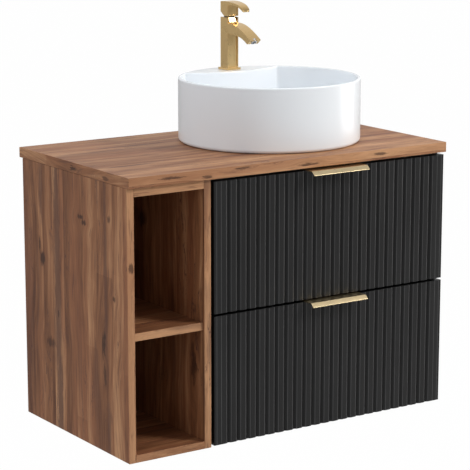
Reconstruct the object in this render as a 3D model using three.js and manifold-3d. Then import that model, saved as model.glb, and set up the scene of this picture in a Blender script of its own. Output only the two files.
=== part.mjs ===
// Wall-hung bathroom vanity: open shelf unit, two-drawer cabinet, wooden worktop, round vessel basin and tap.
// Millimetres. X runs right along the front from the worktop's left end, Y toward the wall at y = 0, Z up
// from the cabinet's underside. The finished group is shifted so that its origin is the wall rail's centre.
import * as THREE from 'three';
import { mergeVertices } from 'three/addons/utils/BufferGeometryUtils.js';
import Module from 'manifold-3d';

const gap = 0.3; // clearance between pieces that touch
const board = 16; // thickness of the cabinet boards

const worktop = { width: 800, depth: 455, thickness: 22, wasteHole: 50, hoseHole: 44 };
const carcass = { height: 562, front: -447, rear: -14 };
const shelfUnit = { width: 196, topBoard: 18, backPanel: 8, middleShelfTop: 266.5, setBack: 6 };
const cabinet = { front: -425.5, railDepth: 80, rearRail: [430, 530], backPanel: 8, backPanelTop: 330 };
const wallRail = {
  left: 20, right: 780, originHeight: 500, bottom: 470, step: 520, top: 545, steel: 2, standOff: 7,
  screws: [120, 320, 480, 680], screwRadius: 3.5, screwAbove: 20,
};
const hanger = { width: 20, front: -80, bottom: 490, top: 556, hook: 5, tongueLift: 8, wallSpace: 1 };

const front = { left: 203.6, thickness: 18, height: 274.2, lowerBottom: 2, upperBottom: 281.4 };
const flute = { count: 23, pitch: 23.85, width: 11.2, depth: 3.4, floor: 0.8 };
const handle = { length: 143.5, steel: 2, rearLeg: 20, reach: 23.5, lipReach: 8.5, lipDrop: 8, lipEnd: 1.4 };
const drawer = { side: 14, panel: 12, rear: -60, clearance: 13 };
const upperBox = { bottom: 296, height: 150 };
const lowerBox = { bottom: 22, height: 170 };
const trapNotch = { width: 130, front: -280 };
const runner = { rear: -65, length: 350, steel: 1.2, height: 45, upperCentre: 372, lowerCentre: 98 };
const runnerMember = {
  fixed: { reach: 9, inset: 0 },
  middle: { reach: 6.6, inset: 3.4, offset: 2.4 },
  inner: { reach: 6, inset: 7 },
};

const basin = {
  x: 500, y: -214, radius: 198, height: 138, wall: 8, footDepth: 14, floor: 24, foot: 12,
  ledgeFront: -100, ledgeArc: 244, ledgeThickness: 12, ledgeWall: 10, wasteHole: 23, tapHole: 15,
  footRound: 8, fillet: 30, floorDish: 14,
};
const waste = {
  tailRadius: 16, tailLength: 25, threadRadius: 22, flangeRadius: 32, bore: 14, nutWidth: 8, nutHeight: 10,
  barHeight: 3, barWidth: 3, guideBelow: 16, hub: 8, stem: 4, plugLift: 7, plugEdge: 2, plugDome: 5.6,
};
const trap = {
  radius: 30, bottom: 340, joint: 375, top: 505, outletHeight: 405, outletRadius: 16, wall: 4,
  shoulder: 10, collarWall: 7, collarHeight: 14, pipeWall: 2, rosetteRadius: 34, rosetteDepth: 7,
};
const tap = { x: 500, y: -58, width: 28.5, column: 111.5, plate: 36, plateThickness: 4.5, swivelGap: 2.6 };
const spout = { reach: 102.5, tipDrop: 31, tipDepth: 9, tipLength: 12, topBelow: 12, underBelow: 35 };
const tapNotch = { depth: 8, height: 12, margin: 2, taper: 3 };
const tapCollar = { top: 9.5, foot: 13.75, rear: 6.55, height: 10.7 };
const tapRecess = { margin: 2.5, depth: 2.2, bottom: 3, topBelow: 37 };
const aerator = { hole: 7, outer: 6.6, bore: 4.6, holeDepth: 6, proud: 1.5 };
const tapStem = { radius: 5, disc: 12, above: 14 };
const tapFixing = { stud: 4, studLength: 30, washer: 19, washerHeight: 3, nut: 8, nutHeight: 8.5, bore: 12 };
const lever = {
  height: 32, chamfer: 9.6, underside: 6.5, tipHalf: 9.5, tipCentre: -62,
  socket: [-9, 9], socketDepth: [-10, 9], socketHeight: 15, recessMargin: 2.5, recessDepth: 1.5,
};

const worktopTop = carcass.height + worktop.thickness;
const basinFoot = worktopTop + gap;
const ledgeTop = basinFoot + basin.height;
const cabinetLeft = shelfUnit.width + gap;

const wood = new THREE.MeshStandardMaterial({ color: 0x9a6a48, roughness: 0.55, metalness: 0 });
const woodTop = new THREE.MeshStandardMaterial({ color: 0xb08f76, roughness: 0.5, metalness: 0 });
const anthracite = new THREE.MeshStandardMaterial({ color: 0x2f3033, roughness: 0.6, metalness: 0 });
const greyBoard = new THREE.MeshStandardMaterial({ color: 0x55565a, roughness: 0.7, metalness: 0 });
const ceramic = new THREE.MeshStandardMaterial({ color: 0xf2f4f6, roughness: 0.08, metalness: 0 });
const brass = new THREE.MeshStandardMaterial({ color: 0xc9a063, roughness: 0.3, metalness: 1 });
const steel = new THREE.MeshStandardMaterial({ color: 0xb9bcc0, roughness: 0.35, metalness: 1 });
const plastic = new THREE.MeshStandardMaterial({ color: 0xe6e6e4, roughness: 0.5, metalness: 0 });

const vanity = new THREE.Group();
vanity.position.set(-worktop.width / 2, 0, -wallRail.originHeight);

const wasm = await Module();
wasm.setup();

// A closed manifold solid from a closed three.js geometry.
function solid(geometry) {
  const bare = geometry.clone();
  bare.deleteAttribute('normal');
  bare.deleteAttribute('uv');
  const merged = mergeVertices(bare, 1e-4);
  return new wasm.Manifold(new wasm.Mesh({
    numProp: 3,
    vertProperties: new Float32Array(merged.attributes.position.array),
    triVerts: new Uint32Array(merged.index.array),
  }));
}

// A three.js geometry from a manifold solid.
function surface(body) {
  const mesh = body.getMesh();
  const geometry = new THREE.BufferGeometry();
  geometry.setAttribute('position', new THREE.BufferAttribute(new Float32Array(mesh.vertProperties), 3));
  geometry.setIndex(new THREE.BufferAttribute(new Uint32Array(mesh.triVerts), 1));
  geometry.computeVertexNormals();
  return geometry;
}

function add(name, geometry, material, position = [0, 0, 0]) {
  const mesh = new THREE.Mesh(geometry, material);
  mesh.name = name;
  mesh.position.set(...position);
  vanity.add(mesh);
}

// A box between two values on each axis.
function box([x0, x1], [y0, y1], [z0, z1]) {
  const geometry = new THREE.BoxGeometry(x1 - x0, y1 - y0, z1 - z0);
  return geometry.translate((x0 + x1) / 2, (y0 + y1) / 2, (z0 + z1) / 2);
}

// An outline in plan (x, y) raised from z0 to z1.
function raised(shape, z0, z1) {
  const options = { depth: z1 - z0, bevelEnabled: false, curveSegments: 24 };
  return new THREE.ExtrudeGeometry(shape, options).translate(0, 0, z0);
}

// A side outline (y, z) run along X from x0 to x1.
function alongX(shape, x0, x1) {
  const options = { depth: x1 - x0, bevelEnabled: false, curveSegments: 20 };
  const turn = new THREE.Matrix4().makeBasis(
    new THREE.Vector3(0, 1, 0), new THREE.Vector3(0, 0, 1), new THREE.Vector3(1, 0, 0));
  return new THREE.ExtrudeGeometry(shape, options).applyMatrix4(turn).translate(x0, 0, 0);
}

// A front outline (x, z) run along Y from y0 to y1, its shape drawn in (z, x).
function alongY(shape, y0, y1) {
  const options = { depth: y1 - y0, bevelEnabled: false, curveSegments: 10 };
  const turn = new THREE.Matrix4().makeBasis(
    new THREE.Vector3(0, 0, 1), new THREE.Vector3(1, 0, 0), new THREE.Vector3(0, 1, 0));
  return new THREE.ExtrudeGeometry(shape, options).applyMatrix4(turn).translate(0, y0, 0);
}

function outline(points) {
  return new THREE.Shape(points.map(([u, v]) => new THREE.Vector2(u, v)));
}

// A solid of revolution about Z from a closed list of (radius, height), going up its outside.
function turned(points, segments = 32) {
  const profile = points.map(([r, z]) => new THREE.Vector2(r, z));
  return new THREE.LatheGeometry(profile, segments).rotateX(Math.PI / 2);
}

function ring(inner, outer, z0, z1, segments = 32) {
  return turned([[inner, z0], [outer, z0], [outer, z1], [inner, z1], [inner, z0]], segments);
}

function rod(radius, z0, z1, segments = 32) {
  return turned([[0, z0], [radius, z0], [radius, z1], [0, z1]], segments);
}

// A hexagon across its corners with a round bore.
function hexagonNut(bore, outer, z0, z1) {
  return solid(rod(outer, z0, z1, 6)).subtract(solid(rod(bore, z0 - 1, z1 + 1, 24)));
}

// Points of an arc about (u, v), angles in degrees.
function arc(u, v, radius, from, to, steps) {
  return Array.from({ length: steps + 1 }, (_, i) => {
    const angle = THREE.MathUtils.degToRad(from + (to - from) * i / steps);
    return [u + radius * Math.cos(angle), v + radius * Math.sin(angle)];
  });
}

function addWorktop() {
  const slab = solid(box([0, worktop.width], [-worktop.depth, 0], [carcass.height + gap, worktopTop]));
  const wasteHole = rod(worktop.wasteHole / 2, carcass.height - 1, worktopTop + 1)
    .translate(basin.x, basin.y, 0);
  const hoseHole = rod(worktop.hoseHole / 2, carcass.height - 1, worktopTop + 1).translate(tap.x, tap.y, 0);
  add('worktop', surface(slab.subtract(solid(wasteHole)).subtract(solid(hoseHole))), woodTop);
}

function addShelfUnit() {
  const depth = [carcass.front, carcass.rear];
  const between = [board + gap, shelfUnit.width - board - gap];
  const topUnderside = carcass.height - shelfUnit.topBoard;
  const panelFront = carcass.rear - shelfUnit.backPanel;
  add('shelf_side_left', box([0, board], depth, [0, carcass.height]), wood);
  add('shelf_side_right', box([shelfUnit.width - board, shelfUnit.width], depth, [0, carcass.height]), wood);
  add('shelf_top_board', box(between, depth, [topUnderside, carcass.height]), wood);
  add('shelf_bottom_board', box(between, depth, [0, board]), wood);
  add('shelf_back_panel',
    box(between, [panelFront, carcass.rear], [board + gap, topUnderside - gap]), wood);
  add('mid_shelf', box(between, [carcass.front + shelfUnit.setBack, panelFront - gap],
    [shelfUnit.middleShelfTop - board, shelfUnit.middleShelfTop]), wood);
}

function addCabinet() {
  const depth = [cabinet.front, carcass.rear];
  const between = [cabinetLeft + board + gap, worktop.width - board - gap];
  add('cabinet_side_left', box([cabinetLeft, cabinetLeft + board], depth, [0, carcass.height]), anthracite);
  add('cabinet_side_right',
    box([worktop.width - board, worktop.width], depth, [0, carcass.height]), anthracite);
  add('cabinet_bottom_board', box(between, depth, [0, board]), anthracite);
  add('cabinet_front_rail', box(between, [cabinet.front, cabinet.front + cabinet.railDepth],
    [carcass.height - board, carcass.height]), greyBoard);
  add('cabinet_rear_rail', box(between, [carcass.rear - board, carcass.rear], cabinet.rearRail), greyBoard);
  add('cabinet_back_panel', box(between, [carcass.rear - cabinet.backPanel, carcass.rear],
    [board + gap, cabinet.backPanelTop]), greyBoard);
}

// The rail on the wall has a lip that stands off, and each hanger's hook drops behind that lip.
function addHanging() {
  const { steel: sheet, standOff, bottom, step, top } = wallRail;
  const section = outline([
    [0, bottom], [0, step + sheet], [-standOff + sheet, step + sheet], [-standOff + sheet, top],
    [-standOff, top], [-standOff, step], [-sheet, step], [-sheet, bottom],
  ]);
  const screwHoles = wallRail.screws.map((x) => solid(rod(wallRail.screwRadius, -standOff, standOff, 16)
    .rotateX(Math.PI / 2).translate(x, 0, bottom + wallRail.screwAbove)));
  const rail = screwHoles.reduce((body, hole) => body.subtract(hole),
    solid(alongX(section, wallRail.left, wallRail.right)));
  add('wall_rail', surface(rail), steel);

  const bodyRear = carcass.rear - board - gap;
  const hookBottom = top + gap;
  const tongue = [-standOff + sheet + gap, -hanger.wallSpace];
  const tongueFoot = step + hanger.tongueLift;
  const hook = outline([
    [hanger.front, hanger.bottom], [bodyRear, hanger.bottom], [bodyRear, hookBottom],
    [tongue[0], hookBottom], [tongue[0], tongueFoot], [tongue[1], tongueFoot],
    [tongue[1], hookBottom + hanger.hook], [bodyRear, hookBottom + hanger.hook],
    [bodyRear, hanger.top], [hanger.front, hanger.top],
  ]);
  const left = cabinetLeft + board + gap;
  const right = worktop.width - board - gap;
  add('hanger_left', alongX(hook, left, left + hanger.width), steel);
  add('hanger_right', alongX(hook, right - hanger.width, right), steel);
}

// Plan outline of a drawer front: plain margins, then slanted-wall flutes.
function flutedOutline() {
  const face = carcass.front;
  const slope = (flute.width - flute.floor) / 2;
  const right = worktop.width;
  const span = (flute.count - 1) * flute.pitch + flute.width;
  const first = (front.left + right - span) / 2;
  const points = [[front.left, face + front.thickness], [front.left, face]];
  for (let i = 0; i < flute.count; i += 1) {
    const x = first + i * flute.pitch;
    points.push([x, face], [x + slope, face + flute.depth]);
    points.push([x + flute.width - slope, face + flute.depth], [x + flute.width, face]);
  }
  points.push([right, face], [right, face + front.thickness]);
  return outline(points);
}

// Edge pull: a leg behind the front, a plate over its top edge and a slanted lip.
function addHandle(name, frontTop) {
  const { steel: t, rearLeg, reach, lipReach, lipDrop, lipEnd } = handle;
  const face = carcass.front;
  const back = face + front.thickness + gap;
  const under = frontTop + gap;
  const over = under + t;
  const bend = t / 2;
  const section = outline([
    [back, frontTop - rearLeg], [back + t, frontTop - rearLeg], [back + t, over],
    [face - reach, over], [face - reach - lipReach, over - lipDrop],
    [face - reach - lipReach + lipEnd, over - lipDrop - lipEnd], [face - reach + bend, under],
    [back, under],
  ]);
  const middle = (front.left + worktop.width) / 2;
  add(name, alongX(section, middle - handle.length / 2, middle + handle.length / 2), brass);
}

// The sides of both drawer boxes, and the faces that the other boards of a box fit between.
const boxLeft = cabinetLeft + board + drawer.clearance;
const boxRight = worktop.width - board - drawer.clearance;
const boxInside = [boxLeft + drawer.side + gap, boxRight - drawer.side - gap];
const boxFront = carcass.front + front.thickness + gap;

function addDrawerSides(prefix, z) {
  const depth = [boxFront, drawer.rear];
  add(`${prefix}_side_left`, box([boxLeft, boxLeft + drawer.side], depth, z), greyBoard);
  add(`${prefix}_side_right`, box([boxRight - drawer.side, boxRight], depth, z), greyBoard);
}

function addUpperDrawer() {
  const { bottom, height } = upperBox;
  const top = bottom + height;
  const wallFoot = bottom + drawer.panel + gap;
  const notch = [basin.x - trapNotch.width / 2, basin.x + trapNotch.width / 2];
  const backDepth = [drawer.rear - drawer.side, drawer.rear];

  add('upper_drawer_front', raised(flutedOutline(), front.upperBottom, front.upperBottom + front.height),
    anthracite);
  addHandle('upper_handle', front.upperBottom + front.height);
  addDrawerSides('upper_drawer', [bottom, top]);
  const floor = outline([
    [boxInside[0], boxFront], [boxInside[1], boxFront], [boxInside[1], drawer.rear],
    [notch[1], drawer.rear], [notch[1], trapNotch.front], [notch[0], trapNotch.front],
    [notch[0], drawer.rear], [boxInside[0], drawer.rear],
  ]);
  add('upper_drawer_bottom', raised(floor, bottom, bottom + drawer.panel), greyBoard);

  const wallDepth = [trapNotch.front, drawer.rear];
  const leftWall = [notch[0] - drawer.panel, notch[0]];
  const rightWall = [notch[1], notch[1] + drawer.panel];
  add('upper_drawer_notch_left', box(leftWall, wallDepth, [wallFoot, top]), greyBoard);
  add('upper_drawer_notch_right', box(rightWall, wallDepth, [wallFoot, top]), greyBoard);
  add('upper_drawer_notch_front', box([leftWall[0], rightWall[1]],
    [trapNotch.front - drawer.panel - gap, trapNotch.front - gap], [wallFoot, top]), greyBoard);
  add('upper_drawer_back_left', box([boxInside[0], leftWall[0] - gap], backDepth, [wallFoot, top]),
    greyBoard);
  add('upper_drawer_back_right', box([rightWall[1] + gap, boxInside[1]], backDepth, [wallFoot, top]),
    greyBoard);
}

function addLowerDrawer() {
  const { bottom, height } = lowerBox;
  const top = bottom + height;
  add('lower_drawer_front', raised(flutedOutline(), front.lowerBottom, front.lowerBottom + front.height),
    anthracite);
  addHandle('lower_handle', front.lowerBottom + front.height);
  addDrawerSides('lower_drawer', [bottom, top]);
  add('lower_drawer_bottom', box(boxInside, [boxFront, drawer.rear], [bottom, bottom + drawer.panel]),
    greyBoard);
  add('lower_drawer_back', box(boxInside, [drawer.rear - drawer.side, drawer.rear],
    [bottom + drawer.panel + gap, top]), greyBoard);
}

// A channel section that opens toward +X (side 1) or -X (side -1), from its web outward.
function channel(web, reach, halfHeight, centre, side) {
  const t = runner.steel;
  const shape = outline([
    [centre - halfHeight, web], [centre - halfHeight, web + side * reach],
    [centre - halfHeight + t, web + side * reach], [centre - halfHeight + t, web + side * t],
    [centre + halfHeight - t, web + side * t], [centre + halfHeight - t, web + side * reach],
    [centre + halfHeight, web + side * reach], [centre + halfHeight, web],
  ]);
  return alongY(shape, runner.rear - runner.length, runner.rear);
}

// Telescopic runners: a fixed channel on the cabinet, a middle one inside it and the drawer's inside that.
function addRunners(drawerName, centre) {
  const hands = [
    { hand: 'left', cabinetFace: cabinetLeft + board + gap, boxFace: boxLeft - gap, inward: 1 },
    { hand: 'right', cabinetFace: worktop.width - board - gap, boxFace: boxRight + gap, inward: -1 },
  ];
  const half = runner.height / 2;
  const { fixed, middle, inner } = runnerMember;
  for (const { hand, cabinetFace, boxFace, inward } of hands) {
    add(`${drawerName}_runner_fixed_${hand}`,
      channel(cabinetFace, fixed.reach, half - fixed.inset, centre, inward), steel);
    const middleFace = cabinetFace + inward * middle.offset;
    add(`${drawerName}_runner_middle_${hand}`,
      channel(middleFace, middle.reach, half - middle.inset, centre, inward), steel);
    add(`${drawerName}_runner_inner_${hand}`,
      channel(boxFace, inner.reach, half - inner.inset, centre, -inward), steel);
  }
}

// Plan outline of the ledge: an arc bowed to the front, closed by the basin's round wall.
function ledgeOutline(inset, wallRadius) {
  const arcRadius = basin.ledgeArc - inset;
  const arcCentre = basin.ledgeFront - basin.y + basin.ledgeArc;
  const along = (wallRadius ** 2 - arcRadius ** 2 + arcCentre ** 2) / (2 * arcCentre);
  const across = Math.sqrt(wallRadius ** 2 - along ** 2);
  const toDegrees = THREE.MathUtils.radToDeg;
  const wallAngle = toDegrees(Math.atan2(along, across));
  const arcAngle = toDegrees(Math.atan2(along - arcCentre, across));
  return outline([
    ...arc(0, 0, wallRadius, wallAngle, 180 - wallAngle, 30),
    ...arc(0, arcCentre, arcRadius, -180 - arcAngle, arcAngle, 16).slice(1, -1),
  ]);
}

function addBasin() {
  const { radius, height, wall, footDepth, floor, foot, footRound, fillet, wasteHole } = basin;
  const inner = radius - wall;
  const rim = wall / 2;
  const bowl = turned([
    [wasteHole, footDepth], [radius - 2 * foot, footDepth], [radius - foot - rim, rim], [radius - foot, 0],
    [radius - footRound, 0], ...arc(radius - footRound, footRound, footRound, -60, 0, 2),
    [radius, height - rim], ...arc(radius - rim, height - rim, rim, 30, 150, 4), [inner, height - rim],
    ...arc(inner - fillet, floor + fillet, fillet, 0, -90, 6), [wasteHole + basin.floorDish, floor],
    [wasteHole, floor], [wasteHole, footDepth],
  ], 80);
  const { ledgeThickness, ledgeWall } = basin;
  const ledge = raised(ledgeOutline(0, inner + rim), footDepth + 1, height - gap);
  const pocket = raised(ledgeOutline(ledgeWall, inner), -1, height - ledgeThickness);
  const hole = rod(basin.tapHole, height - ledgeThickness - 1, height + 1)
    .translate(tap.x - basin.x, tap.y - basin.y, 0);
  const body = solid(bowl).add(solid(ledge)).subtract(solid(pocket)).subtract(solid(hole));
  add('basin', surface(body), ceramic, [basin.x, basin.y, basinFoot]);
}

function addWaste() {
  const { tailRadius, threadRadius, flangeRadius, bore, hub, stem, plugEdge } = waste;
  const seat = basinFoot + basin.floor + gap;
  const guide = seat - waste.guideBelow;
  const foot = trap.top - waste.tailLength;
  const shell = solid(turned([
    [bore, foot], [tailRadius, foot], [tailRadius, carcass.height - waste.nutHeight],
    [threadRadius, carcass.height], [threadRadius, seat], [flangeRadius, seat],
    [flangeRadius - plugEdge, seat + plugEdge], [threadRadius - plugEdge, seat + plugEdge],
    [threadRadius - 2 * plugEdge, seat - hub], [bore, seat - bore], [bore, foot],
  ]));
  const bar = solid(box([-bore - 1, bore + 1], [-waste.barWidth / 2, waste.barWidth / 2],
    [guide - 2 * waste.barHeight, guide - waste.barHeight]));
  const sleeve = solid(rod(hub, guide - hub, guide, 20));
  const stemHole = solid(rod(stem + gap, guide - hub - 1, guide + 1, 20));
  const place = [basin.x, basin.y, 0];
  add('waste_body', surface(shell.add(bar).add(sleeve).subtract(stemHole)), brass, place);

  const underFloor = basinFoot + basin.footDepth - gap;
  const nut = hexagonNut(threadRadius + gap, threadRadius + waste.nutWidth, underFloor - waste.nutHeight,
    underFloor);
  add('waste_nut', surface(nut), plastic, place);

  const cap = seat + plugEdge + 1 + waste.plugLift;
  const capRadius = flangeRadius - plugEdge;
  const plug = turned([
    [0, guide - basin.foot], [stem, guide - basin.foot], [stem, cap], [capRadius - 1, cap],
    [capRadius, cap + plugEdge], [capRadius - 2 * plugEdge, cap + 2 * plugEdge],
    [capRadius / 2, cap + waste.plugDome - gap], [0, cap + waste.plugDome],
  ]);
  add('waste_plug', plug, brass, place);
}

// Bottle trap: the waste's tail drops into the body, the cup closes it below, a pipe leads to the wall.
function addTrap() {
  const { radius, bottom, joint, top, outletHeight, outletRadius, wall, shoulder, pipeWall } = trap;
  const place = [basin.x, basin.y, 0];
  const tail = waste.tailRadius + gap;
  const collar = tail + trap.collarWall;
  const neck = top - trap.collarHeight;
  const shell = solid(turned([
    [radius - wall, joint + gap], [radius, joint + gap], [radius, neck - shoulder], [collar, neck],
    [collar, top], [tail, top], [tail, neck + pipeWall], [radius - wall, neck - shoulder - wall],
    [radius - wall, joint + gap],
  ]));
  const bore = rod(outletRadius - pipeWall, 0, radius + pipeWall, 24).rotateX(-Math.PI / 2)
    .translate(0, 0, outletHeight);
  add('trap_body', surface(shell.subtract(solid(bore))), plastic, place);
  add('trap_cup', turned([
    [0, bottom], [radius - 2 * wall, bottom], [radius, bottom + 2 * wall], [radius, joint],
    [radius - wall, joint], [radius - wall, bottom + shoulder], [radius - shoulder, bottom + wall],
    [0, bottom + wall],
  ]), plastic, place);

  const pipe = ring(outletRadius - pipeWall, outletRadius, radius + gap, -basin.y - gap, 24);
  add('trap_outlet', pipe.rotateX(-Math.PI / 2), plastic, [basin.x, basin.y, outletHeight]);
  const rose = ring(outletRadius + gap, trap.rosetteRadius, 0, trap.rosetteDepth).rotateX(Math.PI / 2);
  add('wall_rosette', rose, plastic, [basin.x, 0, outletHeight]);
}

// Side outline of the column and spout, (y, z) from the tap's axis and the column's foot.
function tapOutline() {
  const half = tap.width / 2;
  const top = tap.column - spout.topBelow;
  const under = tap.column - spout.underBelow;
  const shape = new THREE.Shape();
  shape.moveTo(half, 0);
  shape.lineTo(half, tap.column);
  shape.lineTo(-half, tap.column);
  shape.lineTo(-half, top);
  shape.bezierCurveTo(-38, top + 1, -62, top - 6, -spout.reach, top - spout.tipDrop);
  shape.lineTo(-spout.reach + spout.tipLength, top - spout.tipDrop - spout.tipDepth);
  shape.bezierCurveTo(-72, under - 6, -58, under + 0.5, -half, under);
  shape.lineTo(-half, 0);
  return shape;
}

function addTap() {
  const { width, column, plate, plateThickness, swivelGap } = tap;
  const half = width / 2;
  const foot = ledgeTop + plateThickness + gap;
  const place = [tap.x, tap.y, foot];

  const edge = plate / 2;
  const square = outline([[-edge, -edge], [edge, -edge], [edge, edge], [-edge, edge]]);
  square.holes.push(new THREE.Path().absarc(0, 0, tapFixing.bore, 0, 2 * Math.PI, true));
  add('tap_base_plate', raised(square, gap, plateThickness), brass, [tap.x, tap.y, ledgeTop]);

  // The outlet face runs down and back from the spout's tip, and the aerator sits in the middle of it.
  const tilt = Math.atan2(spout.tipDepth, spout.tipLength);
  const outlet = [
    0, -spout.reach + spout.tipLength / 2,
    column - spout.topBelow - spout.tipDrop - spout.tipDepth / 2,
  ];
  const { holeDepth, proud } = aerator;
  const aeratorHole = rod(aerator.hole, -holeDepth, holeDepth, 24).rotateX(-tilt).translate(...outlet);
  const { margin, taper } = tapNotch;
  const notchFoot = column - tapNotch.height;
  const notch = alongY(outline([
    [notchFoot, -half + margin + taper], [column + 1, -half + margin], [column + 1, half - margin],
    [notchFoot, half - margin - taper],
  ]), -half - 1, -half + tapNotch.depth);
  const recess = box([-half + tapRecess.margin, half - tapRecess.margin],
    [-half - 1, -half + tapRecess.depth], [tapRecess.bottom, column - tapRecess.topBelow]);
  const body = solid(alongX(tapOutline(), -half, half))
    .subtract(solid(aeratorHole)).subtract(solid(notch)).subtract(solid(recess));
  add('tap_body', surface(body), brass, place);

  const collarFoot = column - gap - tapCollar.height;
  const collar = outline([
    [-tapCollar.foot, collarFoot], [-tapCollar.rear, collarFoot], [-tapCollar.rear, column - gap],
    [-tapCollar.top, column - gap],
  ]);
  const collarHalf = half - margin - taper - gap;
  add('tap_collar', alongX(collar, -collarHalf, collarHalf), brass, place);

  const insert = ring(aerator.bore, aerator.outer, -proud, holeDepth - gap, 24);
  add('tap_aerator', insert.rotateX(-tilt).translate(...outlet), steel, place);

  const discTop = column + swivelGap - gap;
  const stemTop = column + tapStem.above;
  add('tap_stem', turned([
    [0, column + gap], [tapStem.disc, column + gap], [tapStem.disc, discTop], [tapStem.radius, discTop],
    [tapStem.radius, stemTop], [0, stemTop],
  ], 32), steel, place);

  addLever(place, column + swivelGap, half);

  const { stud, studLength, washer, washerHeight, nut, nutHeight } = tapFixing;
  const underLedge = basinFoot + basin.height - basin.ledgeThickness - gap;
  add('tap_stud', rod(stud, underLedge - studLength, foot - gap, 16), steel, [tap.x, tap.y, 0]);
  const disc = solid(ring(stud + gap, washer, underLedge - washerHeight, underLedge, 24));
  const hexagon = hexagonNut(stud + gap, nut, underLedge - washerHeight - nutHeight + 1,
    underLedge - washerHeight + 1);
  add('tap_nut', surface(disc.add(hexagon)), steel, [tap.x, tap.y, 0]);
}

// The lever: a block over the column, cut away below its rear edge, that thins into a curved paddle.
function addLever(place, bottom, half) {
  const { chamfer, underside, tipHalf, tipCentre, socket, socketDepth, socketHeight } = lever;
  const { recessMargin, recessDepth } = lever;
  const top = bottom + lever.height;
  const side = new THREE.Shape();
  side.moveTo(0, bottom);
  side.lineTo(half, bottom + chamfer);
  side.lineTo(half, top);
  side.bezierCurveTo(0, top + 2, -32, top + 1.5, -52, top - 5);
  side.quadraticCurveTo(-62, top - 9, -69, top - 16.5);
  side.lineTo(-66.5, top - 19);
  side.quadraticCurveTo(-52, top - 8, -38, top - 6.8);
  side.lineTo(-half, top - underside);
  side.lineTo(-half, bottom);
  const plan = outline([
    [-half, -half], [-half, half + 1], [half, half + 1], [half, -half], [tipHalf, tipCentre],
    ...arc(0, tipCentre, tipHalf, 0, -180, 8).slice(1, -1), [-tipHalf, tipCentre],
  ].reverse());
  const cavity = box(socket, socketDepth, [bottom - 1, bottom + socketHeight]);
  const recess = box([-half + recessMargin, half - recessMargin], [-half - 1, -half + recessDepth],
    [bottom + recessMargin, top - underside - recessMargin]);
  const body = solid(alongX(side, -half, half)).intersect(solid(raised(plan, bottom - 1, top + 4)))
    .subtract(solid(cavity)).subtract(solid(recess));
  add('tap_lever', surface(body), brass, place);
}

addWorktop();
addShelfUnit();
addCabinet();
addHanging();
addUpperDrawer();
addLowerDrawer();
addRunners('upper_drawer', runner.upperCentre);
addRunners('lower_drawer', runner.lowerCentre);
addBasin();
addWaste();
addTrap();
addTap();

export default vanity;
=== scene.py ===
import math

import bmesh
import bpy
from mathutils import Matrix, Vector


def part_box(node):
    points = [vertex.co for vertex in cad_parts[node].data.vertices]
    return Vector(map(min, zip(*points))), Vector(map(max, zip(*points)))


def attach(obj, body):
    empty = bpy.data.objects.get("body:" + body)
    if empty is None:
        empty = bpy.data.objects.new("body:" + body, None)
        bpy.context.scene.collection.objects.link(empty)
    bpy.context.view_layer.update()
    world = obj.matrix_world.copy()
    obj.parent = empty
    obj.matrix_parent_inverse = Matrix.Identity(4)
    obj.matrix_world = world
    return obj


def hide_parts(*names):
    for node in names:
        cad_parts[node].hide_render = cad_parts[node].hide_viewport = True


quarter = math.pi / 2

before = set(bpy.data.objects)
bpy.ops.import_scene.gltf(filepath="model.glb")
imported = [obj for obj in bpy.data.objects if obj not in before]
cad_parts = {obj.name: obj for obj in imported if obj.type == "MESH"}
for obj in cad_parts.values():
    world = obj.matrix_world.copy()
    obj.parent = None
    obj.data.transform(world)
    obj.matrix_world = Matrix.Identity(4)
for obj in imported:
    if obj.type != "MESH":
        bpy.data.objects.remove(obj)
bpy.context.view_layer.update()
print("frame loaded")

# the stage: camera, floor and lights
stageSet = {
    "cameraPlace": (-2.292, -3.652, 0.7565),  # metres, in the object's frame
    "cameraTurn": 33.81,  # degrees from straight ahead, to the right
    "cameraDip": 11.94,
    "lens": 148.7,
    "sensor": 36,
    "reach": 60,  # how far the camera sees
    "floorHeight": -0.92,
    "floorSize": 14,
    "floorColour": (0.6, 0.6, 0.6),
    "floorRoughness": 0.9,
    "aim": (0.05, -0.2, -0.05),
    "frontLight": 0.31,  # the studio's own glow, ahead of the object and behind it
    "backLight": 0.8,
    "glowFrom": -0.1,  # where the glow starts to rise and where it is full, on the way back
    "glowTo": 0.5,
    "backdrop": 1.0,
    "floorGlow": 0.99,
    "lights": {
        "key": {"place": (2.3, -3.1, 2.5), "size": 1.1, "power": 108, "colour": (1.0, 0.98, 0.95)},
        "side": {"place": (3.5, -0.9, 0.5), "size": 1.9, "power": 37, "colour": (1.0, 0.99, 0.97)},
        "fill": {"place": (-3.5, -1.1, 1.2), "size": 2.4, "power": 33, "colour": (0.94, 0.97, 1.0)},
        "top": {"place": (-0.3, -0.5, 3.0), "size": 2.0, "power": 16, "colour": (0.96, 0.98, 1.0)},
    },
}


def addLight(name, spec, aim):
    data = bpy.data.lights.new(name, "AREA")
    data.size = spec["size"]
    data.energy = spec["power"]
    data.color = spec["colour"]
    lamp = bpy.data.objects.new(name, data)
    lamp.location = spec["place"]
    towards = Vector(aim) - lamp.location
    lamp.rotation_euler = towards.to_track_quat("-Z", "Y").to_euler()
    bpy.context.collection.objects.link(lamp)


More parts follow.
